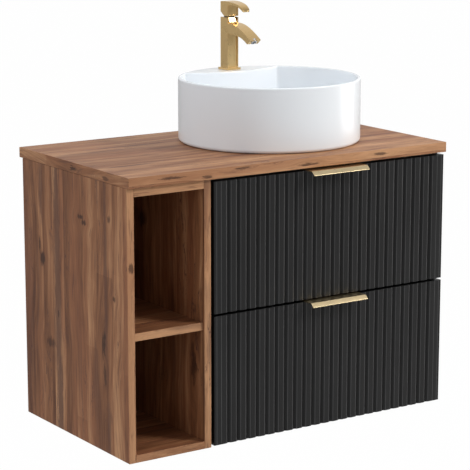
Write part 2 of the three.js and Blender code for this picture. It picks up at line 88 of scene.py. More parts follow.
def buildStage(spec):
    scene = bpy.context.scene
    camera = bpy.data.objects.new("camera", bpy.data.cameras.new("camera"))
    camera.data.lens = spec["lens"]
    camera.data.sensor_width = spec["sensor"]
    camera.location = spec["cameraPlace"]
    camera.rotation_euler = (math.radians(90 - spec["cameraDip"]), 0, -math.radians(spec["cameraTurn"]))
    camera.data.clip_end = spec["reach"]
    bpy.context.collection.objects.link(camera)
    scene.camera = camera
    scene.view_settings.view_transform = "Standard"

    bm = bmesh.new()
    bmesh.ops.create_grid(bm, x_segments=1, y_segments=1, size=spec["floorSize"])
    bmesh.ops.translate(bm, verts=bm.verts, vec=(0, 0, spec["floorHeight"]))
    mesh = bpy.data.meshes.new("floor")
    bm.to_mesh(mesh)
    bm.free()
    floor = bpy.data.objects.new("floor", mesh)
    bpy.context.collection.objects.link(floor)
    paint = bpy.data.materials.new("floorPaint")
    paint.use_nodes = True
    tree = paint.node_tree
    shader = tree.nodes["Principled BSDF"]
    shader.inputs["Base Color"].default_value = (*spec["floorColour"], 1)
    shader.inputs["Roughness"].default_value = spec["floorRoughness"]
    glow = tree.nodes.new("ShaderNodeEmission")  # the camera sees an evenly lit, nearly white floor
    share = tree.nodes.new("ShaderNodeMath")
    share.operation = "MULTIPLY"
    share.inputs[1].default_value = spec["floorGlow"]
    mixed = tree.nodes.new("ShaderNodeMixShader")
    tree.links.new(tree.nodes.new("ShaderNodeLightPath").outputs["Is Camera Ray"], share.inputs[0])
    tree.links.new(share.outputs[0], mixed.inputs[0])
    tree.links.new(shader.outputs[0], mixed.inputs[1])
    tree.links.new(glow.outputs[0], mixed.inputs[2])
    tree.links.new(mixed.outputs[0], tree.nodes["Material Output"].inputs["Surface"])
    floor.data.materials.append(paint)

    for name, lightSpec in spec["lights"].items():
        addLight(name, lightSpec, spec["aim"])

    world = bpy.data.worlds.new("studio")
    world.use_nodes = True
    scene.world = world
    tree = world.node_tree
    axes = tree.nodes.new("ShaderNodeSeparateXYZ")  # a white backcloth hangs behind the object
    tree.links.new(tree.nodes.new("ShaderNodeTexCoord").outputs["Generated"], axes.inputs[0])
    behind = tree.nodes.new("ShaderNodeMapRange")
    behind.interpolation_type = "SMOOTHSTEP"
    tree.links.new(axes.outputs["Y"], behind.inputs["Value"])
    for key, value in {"From Min": spec["glowFrom"], "From Max": spec["glowTo"],
                       "To Min": spec["frontLight"], "To Max": spec["backLight"]}.items():
        behind.inputs[key].default_value = value
    seen = tree.nodes.new("ShaderNodeLightPath")  # the camera sees it white all over
    strength = tree.nodes.new("ShaderNodeMix")
    strength.inputs["B"].default_value = spec["backdrop"]
    tree.links.new(behind.outputs["Result"], strength.inputs["A"])
    tree.links.new(seen.outputs["Is Camera Ray"], strength.inputs["Factor"])
    tree.links.new(strength.outputs["Result"], tree.nodes["Background"].inputs["Strength"])
    tree.nodes["Background"].inputs["Color"].default_value = (1, 1, 1, 1)


buildStage(stageSet)
print("stage built")


# short forms for making and joining shader nodes
def put(tree, kind, values=None, **settings):
    node = tree.nodes.new(kind)
    for key, value in settings.items():
        setattr(node, key, value)
    for key, value in (values or {}).items():
        if isinstance(value, bpy.types.NodeSocket):
            tree.links.new(value, node.inputs[key])
        else:
            node.inputs[key].default_value = value
    return node


def calc(tree, operation, a, b=0.0, c=0.0):
    return put(tree, "ShaderNodeMath", {0: a, 1: b, 2: c}, operation=operation).outputs[0]


def step(tree, value, low, high):  # 0 below low, 1 above high, smooth between
    return put(tree, "ShaderNodeMapRange", {"Value": value, "From Min": low, "From Max": high},
               interpolation_type="SMOOTHSTEP").outputs["Result"]


def stretched(tree, vector, scale, offset=(0, 0, 0)):
    return put(tree, "ShaderNodeMapping", {"Vector": vector, "Scale": scale, "Location": offset}).outputs[0]


def noise(tree, vector, scale=1.0, detail=3.0, rough=0.5):
    return put(tree, "ShaderNodeTexNoise",
               {"Vector": vector, "Scale": scale, "Detail": detail, "Roughness": rough}).outputs["Fac"]


def layer(tree, vector, spec):  # one noise of a figure, stretched and placed as its values say
    placed = stretched(tree, vector, spec["scale"], spec.get("offset", (0, 0, 0)))
    return noise(tree, placed, detail=spec.get("detail", 3), rough=spec.get("rough", 0.5))


def swing(tree, value, amount, base):  # base plus or minus half the amount, as a value goes from 0 to 1
    return calc(tree, "MULTIPLY_ADD", calc(tree, "SUBTRACT", value, 0.5), amount, base)


def blend(tree, factor, a, b, mode="MIX"):
    node = put(tree, "ShaderNodeMix", {0: factor, 6: a, 7: b}, data_type="RGBA", blend_type=mode)
    return node.outputs[2]


def ramp(tree, value, stops):
    node = put(tree, "ShaderNodeValToRGB", {"Fac": value})
    band = node.color_ramp.elements
    while len(band) < len(stops):
        band.new(0.5)
    for element, (position, colour) in zip(band, stops):
        element.position = position
        element.color = (*colour, 1)
    return node.outputs["Color"]


def newGroup(name, inputs, outputs):
    group = bpy.data.node_groups.new(name, "ShaderNodeTree")
    for label, kind, default in inputs:
        socket = group.interface.new_socket(name=label, in_out="INPUT", socket_type=kind)
        if default is not None:
            socket.default_value = default
    for label, kind in outputs:
        group.interface.new_socket(name=label, in_out="OUTPUT", socket_type=kind)
    return group, group.nodes.new("NodeGroupInput"), group.nodes.new("NodeGroupOutput")


def newMaterial(name):
    material = bpy.data.materials.new(name)
    material.use_nodes = True
    tree = material.node_tree
    place = put(tree, "ShaderNodeTexCoord").outputs["Object"]
    return material, tree, tree.nodes["Principled BSDF"], place


def useGroup(tree, group, values):
    node = tree.nodes.new("ShaderNodeGroup")
    node.node_tree = group
    for key, value in values.items():
        if isinstance(value, bpy.types.NodeSocket):
            tree.links.new(value, node.inputs[key])
        else:
            node.inputs[key].default_value = value
    return node.outputs


def bump(tree, height, strength, distance):
    return put(tree, "ShaderNodeBump",
               {"Height": height, "Strength": strength, "Distance": distance}).outputs["Normal"]


# effects shared by several materials
# scales are (along the grain, across it, depth); contrasts and shares say how strongly each layer shows
figureSet = {
    "slow": {"scale": (2.4, 8, 8), "detail": 1},
    "quick": {"scale": (11, 42, 42), "detail": 1},
    "bands": {"scale": (2.6, 30, 20), "rough": 0.6},
    "growth": {"scale": (7, 120, 90), "detail": 5, "rough": 0.7},
    "fibre": {"scale": (30, 850, 700), "detail": 2},
    "fleck": {"scale": (15, 240, 200), "offset": (4, 1, 2), "detail": 2},
    "streak": {"scale": (0.8, 36, 20), "offset": (3.1, 1.7, 0.4), "detail": 2},
    "broken": {"scale": (5, 70, 40), "offset": (1, 7, 3), "detail": 2},
    "torn": {"scale": (9, 75, 50), "offset": (2, 5, 7), "detail": 4, "rough": 0.6},
    "opened": {"scale": (3.5, 22, 14), "offset": (6, 3, 1), "detail": 2},
    "red": {"scale": (1.1, 21, 12), "offset": (9, 2, 5)},
    "slowBend": 0.06,  # metres that the grain lines wander
    "quickBend": 0.012,
    "plankBend": 0.012,
    "plankUneven": 0.8,
    "plankApart": 17.0,
    "lengths": 1.7,  # planks' lengths in a metre
    "depthApart": 0.6,
    "plankShares": (0.7, 0.3),
    "plankContrast": 0.56,
    "bandContrast": 1.2,
    "growthContrast": 0.8,
    "streakEdge": (0.56, 0.72),
    "brokenEdge": (0.36, 0.66),
    "fleckEdge": (0.58, 0.7),
    "fleckShare": 0.8,
    "crackEdge": (0.004, 0.022),
    "openedEdge": (0.55, 0.66),
    "crackShare": 1.5,
    "redEdge": (0.45, 0.68),
}


def buildWoodFigure(spec):
    # grain runs along X; Y is across the face and Z is the board's depth
    group, given, result = newGroup(
        "woodFigure",
        [("Vector", "NodeSocketVector", None), ("Plank Width", "NodeSocketFloat", 0.05),
         ("Push", "NodeSocketFloat", 0.0)],
        [("Tone", "NodeSocketFloat"), ("Dark", "NodeSocketFloat"), ("Red", "NodeSocketFloat"),
         ("Fibre", "NodeSocketFloat")])
    vector = given.outputs["Vector"]
    axes = put(group, "ShaderNodeSeparateXYZ", {"Vector": vector})
    along, across, deep = axes.outputs["X"], axes.outputs["Y"], axes.outputs["Z"]

    # slow and quick wandering of the grain lines
    slow = layer(group, vector, spec["slow"])
    bent = swing(group, slow, spec["slowBend"], calc(group, "ADD", across, given.outputs["Push"]))
    bent = swing(group, layer(group, vector, spec["quick"]), spec["quickBend"], bent)

    # planks side by side, each made of lengths with their own tone
    wandering = calc(group, "ADD", swing(group, slow, spec["plankBend"], across), deep)
    counted = calc(group, "DIVIDE", wandering, given.outputs["Plank Width"])
    planks = put(group, "ShaderNodeTexVoronoi",
                 {"W": counted, "Scale": 1.0, "Randomness": spec["plankUneven"]}, voronoi_dimensions="1D")
    plank = put(group, "ShaderNodeSeparateColor", {"Color": planks.outputs["Color"]})
    row = calc(group, "MULTIPLY_ADD", plank.outputs[0], spec["plankApart"],
               calc(group, "MULTIPLY", along, spec["lengths"]))
    lengths = put(group, "ShaderNodeTexVoronoi", {"W": row, "Scale": 1.0}, voronoi_dimensions="1D")
    length = put(group, "ShaderNodeSeparateColor", {"Color": lengths.outputs["Color"]}).outputs[1]
    plankShare, lengthShare = spec["plankShares"]
    plankTone = calc(group, "MULTIPLY_ADD", plank.outputs[1], plankShare,
                     calc(group, "MULTIPLY", length, lengthShare))

    depth = calc(group, "MULTIPLY_ADD", plank.outputs[2], spec["depthApart"], deep)
    follow = put(group, "ShaderNodeCombineXYZ", {"X": along, "Y": bent, "Z": depth}).outputs[0]
    tone = swing(group, plankTone, spec["plankContrast"], 0.5)
    tone = swing(group, layer(group, follow, spec["bands"]), spec["bandContrast"], tone)
    tone = swing(group, layer(group, follow, spec["growth"]), spec["growthContrast"], tone)
    group.links.new(tone, result.inputs["Tone"])

    # long soft streaks that come and go, and short pores inside them
    streak = step(group, layer(group, follow, spec["streak"]), *spec["streakEdge"])
    broken = step(group, layer(group, follow, spec["broken"]), *spec["brokenEdge"])
    fleck = step(group, layer(group, follow, spec["fleck"]), *spec["fleckEdge"])
    pores = calc(group, "MULTIPLY", fleck, spec["fleckShare"])
    # fine cracks that open here and there along the grain
    torn = calc(group, "SUBTRACT", layer(group, follow, spec["torn"]), 0.5)
    crack = calc(group, "SUBTRACT", 1.0, step(group, calc(group, "ABSOLUTE", torn), *spec["crackEdge"]))
    opened = step(group, layer(group, follow, spec["opened"]), *spec["openedEdge"])
    cracks = calc(group, "MULTIPLY", calc(group, "MULTIPLY", crack, opened), spec["crackShare"])
    lines = calc(group, "MAXIMUM", calc(group, "MULTIPLY", streak, broken), pores)
    group.links.new(calc(group, "MAXIMUM", lines, cracks), result.inputs["Dark"])
    group.links.new(step(group, layer(group, follow, spec["red"]), *spec["redEdge"]), result.inputs["Red"])
    group.links.new(layer(group, follow, spec["fibre"]), result.inputs["Fibre"])
    return group


markSet = {
    "around": 0.42,  # the grain parts over a wider round than the mark itself
    "fray": {"scale": (26, 210, 160), "detail": 4, "rough": 0.75},
    "raggedEdge": (0.3, 0.8),
    "nearEdge": (0.04, 0.4),
}


def fall(tree, vector):  # 1 at the middle of a vector field, falling softly to 0
    product = put(tree, "ShaderNodeVectorMath", {0: vector, 1: vector}, operation="DOT_PRODUCT")
    return calc(tree, "EXPONENT", calc(tree, "MULTIPLY", product.outputs["Value"], -1.0))


def buildWoodMark(spec):
    # one knot or dark streak: the grain parts round it, and its edge is frayed along the grain
    group, given, result = newGroup(
        "woodMark",
        [("Vector", "NodeSocketVector", None), ("Centre", "NodeSocketVector", None),
         ("Size", "NodeSocketVector", None), ("Dark", "NodeSocketFloat", 0.8),
         ("Part", "NodeSocketFloat", 0.0), ("Fray", "NodeSocketFloat", 3.0)],
        [("Dark", "NodeSocketFloat"), ("Push", "NodeSocketFloat")])
    vector = given.outputs["Vector"]
    away = put(group, "ShaderNodeVectorMath", {0: vector, 1: given.outputs["Centre"]}, operation="SUBTRACT")
    share = put(group, "ShaderNodeVectorMath", {0: away.outputs[0], 1: given.outputs["Size"]},
                operation="DIVIDE")
    wide = put(group, "ShaderNodeVectorMath", {0: share.outputs[0], 1: (spec["around"],) * 3},
               operation="MULTIPLY")
    near = fall(group, share.outputs[0])
    around = fall(group, wide.outputs[0])
    ragged = swing(group, layer(group, vector, spec["fray"]), given.outputs["Fray"], near)
    shade = calc(group, "MULTIPLY", step(group, ragged, *spec["raggedEdge"]),
                 step(group, near, *spec["nearEdge"]))
    group.links.new(calc(group, "MULTIPLY", shade, given.outputs["Dark"]), result.inputs["Dark"])
    side = put(group, "ShaderNodeSeparateXYZ", {"Vector": away.outputs[0]}).outputs["Y"]
    group.links.new(calc(group, "MULTIPLY", calc(group, "MULTIPLY", side, around),
                         calc(group, "MULTIPLY", given.outputs["Part"], -1.0)), result.inputs["Push"])
    return group


brushSet = {
    "scratch": {"scale": (30, 2600, 2600), "rough": 0.6},
    "slowScale": 55,
    "scratchShare": 0.5,
}


def buildBrushing(spec):
    # fine parallel scratches along X, and slow changes in how dull the surface is
    group, given, result = newGroup(
        "brushing", [("Vector", "NodeSocketVector", None), ("Fineness", "NodeSocketFloat", 1.0)],
        [("Scratch", "NodeSocketFloat"), ("Dullness", "NodeSocketFloat")])
    wanted = {0: given.outputs["Vector"], "Scale": given.outputs["Fineness"]}
    scaled = put(group, "ShaderNodeVectorMath", wanted, operation="SCALE").outputs[0]
    scratch = layer(group, scaled, spec["scratch"])
    group.links.new(scratch, result.inputs["Scratch"])
    slow = noise(group, scaled, scale=spec["slowScale"])
    group.links.new(swing(group, scratch, spec["scratchShare"], slow), result.inputs["Dullness"])
    return group


peelSet = {
    "fineDetail": 2.0,
    "waveScale": 9,
    "shares": (0.35, 0.65),  # of the fine and the wavy part
    "smear": {"scale": (14, 14, 5), "detail": 5, "rough": 0.65},
}


def buildPeel(spec):
    # the slight unevenness of a sprayed, glazed or moulded skin, and faint wipe marks
    group, given, result = newGroup(
        "surfacePeel", [("Vector", "NodeSocketVector", None), ("Grain", "NodeSocketFloat", 400.0)],
        [("Height", "NodeSocketFloat"), ("Smear", "NodeSocketFloat")])
    vector = given.outputs["Vector"]
    fine = noise(group, vector, given.outputs["Grain"], spec["fineDetail"])
    wave = noise(group, vector, spec["waveScale"], 1)
    fineShare, waveShare = spec["shares"]
    group.links.new(calc(group, "MULTIPLY_ADD", fine, fineShare, calc(group, "MULTIPLY", wave, waveShare)),
                    result.inputs["Height"])
    group.links.new(layer(group, vector, spec["smear"]), result.inputs["Smear"])
    return group


woodFigure = buildWoodFigure(figureSet)
woodMark = buildWoodMark(markSet)
brushing = buildBrushing(brushSet)
surfacePeel = buildPeel(peelSet)
print("shared effects built")

# marks are (along the grain, across it, depth) in the wood's own directions, with sizes in metres
woodSet = {
    "light": (0.53, 0.282, 0.143),
    "middle": (0.272, 0.116, 0.052),
    "deep": (0.108, 0.038, 0.016),
    "dark": (0.034, 0.012, 0.007),
    "streak": (0.088, 0.038, 0.027),
    "red": (0.27, 0.098, 0.045),
    "roughness": (0.46, 0.64),
    "paintedEdgeLight": 0.34,  # painted front light: the banding on front edges is painted paler
    "edgeDeep": 0.0008,  # and this thin
    # painted front light on the worktop's front edge
    "paintedFrontLight": 0.14,
    "stops": (0.12, 0.48, 0.86),
    "redShare": 0.45,
    "darkShare": 0.6,
    "streakShare": 0.72,
    "knotShare": 0.86,
    "fibreShade": (0.5, 0.75),
    "knotFray": 3.2,
    "streakFray": 1.6,
    "relief": (0.25, 0.0004),
    "specular": 0.3,
    "upright": {"plankWidth": 0.047, "lift": 0.0, "shift": (0, 0.21, 0)},
    "shelf": {"plankWidth": 0.06, "lift": 0.02, "shift": (0.9, 0, 0)},
    "worktop": {"plankWidth": 0.062, "lift": 0.12, "shift": (0.3, 0.13, 0)},
    "uprightKnots": [
        {"centre": (-0.142, -0.095, 0.4), "size": (0.018, 0.011, 0.05), "dark": 1.0, "part": 0.5},
        {"centre": (-0.112, -0.084, 0.4), "size": (0.022, 0.0045, 0.05), "dark": 0.9, "part": 0.2},
        {"centre": (-0.024, -0.262, 0.4), "size": (0.006, 0.012, 0.05), "dark": 0.95, "part": 0.5},
        {"centre": (-0.034, -0.275, 0.4), "size": (0.006, 0.014, 0.05), "dark": 0.95, "part": 0.4},
        {"centre": (-0.010, -0.377, 0.4), "size": (0.008, 0.008, 0.05), "dark": 0.8, "part": 0.7},
        {"centre": (-0.170, -0.393, 0.4), "size": (0.006, 0.007, 0.05), "dark": 0.8, "part": 0.6},
        {"centre": (-0.247, -0.162, 0.4), "size": (0.009, 0.006, 0.05), "dark": 0.8, "part": 0.5},
        {"centre": (-0.318, -0.128, 0.4), "size": (0.012, 0.022, 0.05), "dark": 0.8, "part": 0.35},
        {"centre": (-0.276, -0.350, 0.4), "size": (0.034, 0.009, 0.05), "dark": 0.95, "part": 0.8},
        {"centre": (-0.336, -0.354, 0.4), "size": (0.026, 0.007, 0.05), "dark": 0.85, "part": 0.4},
        {"centre": (-0.098, -0.447, 0.393), "size": (0.010, 0.010, 0.008), "dark": 0.85, "part": 0.8},
        {"centre": (-0.055, -0.205, 0.22), "size": (0.020, 0.016, 0.02), "dark": 0.9, "part": 0.8},
        {"centre": (-0.085, -0.150, 0.22), "size": (0.030, 0.016, 0.02), "dark": 0.85, "part": 0.6},
        {"centre": (-0.330, -0.405, 0.22), "size": (0.045, 0.012, 0.02), "dark": 0.85, "part": 0.7},
    ],
    "uprightStreaks": [
        {"centre": (0.010, -0.092, 0.4), "size": (0.080, 0.010, 0.05), "dark": 0.85},
        {"centre": (-0.150, -0.160, 0.4), "size": (0.42, 0.017, 0.05), "dark": 1.0},
        {"centre": (-0.430, -0.163, 0.4), "size": (0.20, 0.015, 0.05), "dark": 1.0},
        {"centre": (-0.120, -0.360, 0.4), "size": (0.25, 0.008, 0.05), "dark": 0.9},
        {"centre": (-0.460, -0.368, 0.4), "size": (0.09, 0.009, 0.05), "dark": 0.8},
        {"centre": (-0.360, -0.318, 0.4), "size": (0.12, 0.010, 0.05), "dark": 0.6},
        {"centre": (-0.200, -0.030, 0.3), "size": (0.5, 0.03, 0.2), "dark": 0.5},
    ],
    "topKnots": [
        {"centre": (0.03, 0.071, -0.455), "size": (0.026, 0.0035, 0.006), "dark": 0.9, "part": 0.9},
        {"centre": (-0.13, 0.079, -0.455), "size": (0.022, 0.003, 0.006), "dark": 0.85, "part": 0.9},
        {"centre": (-0.22, 0.069, -0.455), "size": (0.016, 0.003, 0.006), "dark": 0.8, "part": 0.9},
        {"centre": (0.22, 0.075, -0.455), "size": (0.02, 0.003, 0.006), "dark": 0.85, "part": 0.9},
        {"centre": (-0.30, 0.075, -0.455), "size": (0.03, 0.0035, 0.006), "dark": 0.75, "part": 0.9},
        {"centre": (-0.235, 0.072, -0.40), "size": (0.016, 0.006, 0.006), "dark": 0.95, "part": 0.8},
        {"centre": (-0.365, 0.071, -0.40), "size": (0.012, 0.005, 0.006), "dark": 0.7, "part": 0.8},
    ],
    "topStreaks": [
        {"centre": (-0.18, -0.118, 0.084), "size": (0.16, 0.007, 0.03), "dark": 0.8},
        {"centre": (-0.02, -0.092, 0.084), "size": (0.16, 0.006, 0.03), "dark": 0.7},
        {"centre": (-0.28, -0.150, 0.084), "size": (0.12, 0.007, 0.03), "dark": 0.7},
        {"centre": (-0.32, -0.330, 0.084), "size": (0.07, 0.007, 0.03), "dark": 0.95},
        {"centre": (-0.05, -0.345, 0.084), "size": (0.20, 0.005, 0.03), "dark": 0.8},
        {"centre": (0.33, -0.29, 0.084), "size": (0.14, 0.006, 0.03), "dark": 0.8},
    ],
}


def sumMarks(tree, place, marks, fray):
    darkest, push = 0.0, 0.0
    for mark in marks:
        made = useGroup(tree, woodMark, {"Vector": place, "Centre": mark["centre"], "Size": mark["size"],
                                         "Dark": mark["dark"], "Part": mark.get("part", 0.0), "Fray": fray})
        darkest = calc(tree, "MAXIMUM", made["Dark"], darkest)
        push = calc(tree, "ADD", made["Push"], push)
    return darkest, push


def makeWood(grain, tree, shader, spec, lift, knots=(), streaks=()):
    knotDark, push = sumMarks(tree, grain, knots, woodSet["knotFray"])
    streakDark = sumMarks(tree, grain, streaks, woodSet["streakFray"])[0]
    moved = put(tree, "ShaderNodeVectorMath", {0: grain, 1: spec["shift"]}, operation="ADD").outputs[0]
    figure = useGroup(tree, woodFigure, {"Vector": moved, "Plank Width": spec["plankWidth"], "Push": push})
    tones = [woodSet["deep"], woodSet["middle"], woodSet["light"]]
    base = ramp(tree, calc(tree, "ADD", figure["Tone"], lift), list(zip(woodSet["stops"], tones)))
    red = calc(tree, "MULTIPLY", figure["Red"], woodSet["redShare"])
    warm = blend(tree, red, base, (*woodSet["red"], 1))
    lined = calc(tree, "MAXIMUM", calc(tree, "MULTIPLY", figure["Dark"], woodSet["darkShare"]),
                 calc(tree, "MULTIPLY", streakDark, woodSet["streakShare"]))
    streaked = blend(tree, lined, warm, (*woodSet["streak"], 1))
    knot = calc(tree, "MULTIPLY", knotDark, woodSet["knotShare"])
    knotted = blend(tree, knot, streaked, (*woodSet["dark"], 1))
    shade = calc(tree, "MULTIPLY_ADD", figure["Fibre"], *woodSet["fibreShade"])
    fibred = blend(tree, 1.0, knotted, put(tree, "ShaderNodeCombineColor",
                   {0: shade, 1: shade, 2: shade}).outputs[0], "MULTIPLY")
    tree.links.new(fibred, shader.inputs["Base Color"])
    low, high = woodSet["roughness"]
    tree.links.new(calc(tree, "MULTIPLY_ADD", figure["Fibre"], high - low, low), shader.inputs["Roughness"])
    relief = calc(tree, "SUBTRACT", figure["Fibre"], calc(tree, "MAXIMUM", knotDark, figure["Dark"]))
    tree.links.new(bump(tree, relief, *woodSet["relief"]), shader.inputs["Normal"])
    shader.inputs["Specular IOR Level"].default_value = woodSet["specular"]


# painted light: a board's front edge is painted paler, as if front light falls on it
def paintedEdgeLight(tree, place, lift, node):
    ahead = put(tree, "ShaderNodeSeparateXYZ", {"Vector": place}).outputs["Y"]
    onEdge = calc(tree, "LESS_THAN", ahead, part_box(node)[0][1] + woodSet["edgeDeep"])
    return calc(tree, "MULTIPLY_ADD", onEdge, woodSet["paintedEdgeLight"], lift)


def makeUprightWood(spec):
    material, tree, shader, place = newMaterial("woodUpright")
    grain = put(tree, "ShaderNodeMapping", {"Vector": place, "Rotation": (0, quarter, 0)}).outputs[0]
    lift = paintedEdgeLight(tree, place, spec["lift"], "shelf_side_left")
    makeWood(grain, tree, shader, spec, lift, woodSet["uprightKnots"], woodSet["uprightStreaks"])
    return material


def makeShelfWood(name, node, spec):
    material, tree, shader, place = newMaterial(name)
    makeWood(place, tree, shader, spec, paintedEdgeLight(tree, place, spec["lift"], node))
    return material


def makeTopWood(low, high, spec):
    # the banding on each edge carries its own figure, with the grain along the edge
    material, tree, shader, place = newMaterial("woodWorktop")
    axes = put(tree, "ShaderNodeSeparateXYZ", {"Vector": place})
    x, y, z = axes.outputs["X"], axes.outputs["Y"], axes.outputs["Z"]
    front = put(tree, "ShaderNodeCombineXYZ", {"X": x, "Y": z, "Z": y}).outputs[0]
    end = put(tree, "ShaderNodeCombineXYZ", {"X": y, "Y": z, "Z": x}).outputs[0]
    onFront = calc(tree, "LESS_THAN", y, low[1] + woodSet["edgeDeep"])
    onEnd = calc(tree, "GREATER_THAN", calc(tree, "ABSOLUTE", x), high[0] - woodSet["edgeDeep"])
    grain = put(tree, "ShaderNodeMix", {0: onFront, 4: place, 5: front}, data_type="VECTOR").outputs[1]
    grain = put(tree, "ShaderNodeMix", {0: onEnd, 4: grain, 5: end}, data_type="VECTOR").outputs[1]
    # painted light: the worktop's front edge is painted paler, as if front light falls on it
    lift = calc(tree, "MULTIPLY_ADD", onFront, woodSet["paintedFrontLight"], spec["lift"])
    makeWood(grain, tree, shader, spec, lift, woodSet["topKnots"], woodSet["topStreaks"])
    return material


# sprayed, glazed and moulded skins; "roughness" and "bump" are (amount, base) and (strength, distance)
skinSet = {
    "mattBlackLacquer": {
        "grain": 900.0,
        "colours": [(0.3, (0.0085, 0.0085, 0.009)), (0.75, (0.0115, 0.0115, 0.012))],
        "roughness": (0.06, 0.39),
        "bump": (0.08, 0.0003),
        "fixed": {"Specular IOR Level": 0.34},
    },
    "flutedBlackLacquer": {
        "grain": 900.0,
        "colours": [(0.3, (0.0075, 0.0075, 0.008)), (0.75, (0.0105, 0.0105, 0.011))],
        "roughness": (0.06, 0.38),
        "bump": (0.08, 0.0003),
        "fixed": {"Specular IOR Level": 0.32},
    },
    "glazedCeramic": {
        "grain": 130.0,
        "colours": [(0.25, (0.875, 0.918, 0.965)), (0.8, (0.892, 0.93, 0.972))],
        "roughness": (0.06, 0.2),
        "bump": (0.05, 0.0006),
        "fixed": {"Coat Weight": 0.2, "Coat Roughness": 0.1},
    },
    "whitePlastic": {
        "grain": 500.0,
        "colours": [(0.3, (0.70, 0.70, 0.685)), (0.75, (0.80, 0.80, 0.79))],
        "roughness": (0.16, 0.32),
        "bump": (0.15, 0.0003),
        "fixed": {},
    },
}


def makeSkin(name):
    spec = skinSet[name]
    material, tree, shader, place = newMaterial(name)
    peel = useGroup(tree, surfacePeel, {"Vector": place, "Grain": spec["grain"]})
    colour = ramp(tree, peel["Smear"], spec["colours"])
    tree.links.new(colour, shader.inputs["Base Color"])
    tree.links.new(calc(tree, "MULTIPLY_ADD", peel["Smear"], *spec["roughness"]), shader.inputs["Roughness"])
    tree.links.new(bump(tree, peel["Height"], *spec["bump"]), shader.inputs["Normal"])
    for label, value in spec["fixed"].items():
        shader.inputs[label].default_value = value
    return material, shader, place, peel, colour


def makeFrontBlack(low, high, spec):
    # a painted highlight runs along the shoulders of the flutes, and painted shade darkens their floors
    material, shader, place, peel, colour = makeSkin("flutedBlackLacquer")
    tree = material.node_tree
    axes = put(tree, "ShaderNodeSeparateXYZ", {"Vector": place})
    x, y = axes.outputs["X"], axes.outputs["Y"]
    # painted highlight: a paler line on each flute's shoulder, where light would catch
    turns = calc(tree, "DIVIDE", calc(tree, "SUBTRACT", x, (low[0] + high[0]) / 2), spec["pitch"])
    half = calc(tree, "FRACT", calc(tree, "ADD", turns, spec["flutes"] + 0.5))
    phase = calc(tree, "ABSOLUTE", calc(tree, "SUBTRACT", half, 0.5))
    across = calc(tree, "MULTIPLY", phase, spec["pitch"])
    off = calc(tree, "ABSOLUTE", calc(tree, "SUBTRACT", across, spec["fluteWidth"] / 2))
    shoulderHighlight = calc(tree, "SUBTRACT", 1.0, step(tree, off, spec["shoulderHighlight"] / 3, spec["shoulderHighlight"]))
    shoulderHighlight = calc(tree, "MULTIPLY", shoulderHighlight, calc(tree, "LESS_THAN", y, low[1] + spec["shoulderHighlight"]))
    highlightMask = calc(tree, "MULTIPLY", shoulderHighlight, calc(tree, "MULTIPLY_ADD", peel["Smear"], 0.5, 0.5))
    paler = blend(tree, highlightMask, colour, (*spec["shoulderHighlightColour"], 1))
    # painted shade: the flute's floor is darkened, where shade would fall
    deep = step(tree, y, low[1] + spec["fluteShadeFrom"], low[1] + spec["depth"])
    fluteShadeMask = calc(tree, "MULTIPLY", deep, calc(tree, "LESS_THAN", y, low[1] + spec["fluteShadeTo"]))
    dark = calc(tree, "MULTIPLY", fluteShadeMask, spec["darkShare"])
    tree.links.new(blend(tree, dark, paler, (*spec["fluteShadeColour"], 1)), shader.inputs["Base Color"])
    return material


boardSet = {
    "thread": (60, 1500, 1500),
    "weft": (1500, 60, 60),
    "colours": [(0.35, (0.085, 0.087, 0.092)), (0.65, (0.14, 0.142, 0.148))],
    "roughness": (0.2, 0.45),
    "bump": (0.2, 0.0002),
}


def makeBoard(spec):  # laminate with a fine cloth print
    material, tree, shader, place = newMaterial("greyLaminate")
    threads = noise(tree, stretched(tree, place, spec["thread"]), detail=2)
    weft = noise(tree, stretched(tree, place, spec["weft"]), detail=2)
    cloth = calc(tree, "MULTIPLY_ADD", threads, 0.5, calc(tree, "MULTIPLY", weft, 0.5))
    tree.links.new(ramp(tree, cloth, spec["colours"]), shader.inputs["Base Color"])
    tree.links.new(calc(tree, "MULTIPLY_ADD", cloth, *spec["roughness"]), shader.inputs["Roughness"])
    tree.links.new(bump(tree, cloth, *spec["bump"]), shader.inputs["Normal"])
    return material


goldSet = {
    "tap": [(0.3, (0.69, 0.46, 0.195)), (0.7, (0.82, 0.585, 0.28))],
    # painted sheen: the pulls take a paler copy of the tap's gold, for the light their faces reflect
    "pull": [(0.3, (0.84, 0.66, 0.38)), (0.7, (0.93, 0.77, 0.49))],
    "fineness": 1.0,
    "roughness": (0.1, 0.24),
    "bump": (0.12, 0.00015),
}


def makeGold(name, turn, colours, spec):
    material, tree, shader, place = newMaterial(name)
    lined = put(tree, "ShaderNodeMapping", {"Vector": place, "Rotation": turn}).outputs[0]
    brush = useGroup(tree, brushing, {"Vector": lined, "Fineness": spec["fineness"]})
    tree.links.new(ramp(tree, brush["Scratch"], colours), shader.inputs["Base Color"])
    dull = calc(tree, "MULTIPLY_ADD", brush["Dullness"], *spec["roughness"])
    tree.links.new(dull, shader.inputs["Roughness"])
    tree.links.new(bump(tree, brush["Scratch"], *spec["bump"]), shader.inputs["Normal"])
    shader.inputs["Metallic"].default_value = 1
    return material


zincSet = {
    "spangle": 160.0,
    "colours": [(0.0, (0.50, 0.51, 0.53)), (1.0, (0.66, 0.67, 0.68))],
    "fineness": 0.6,
    "roughness": (0.2, 0.26),
    "bump": (0.1, 0.0001),
}


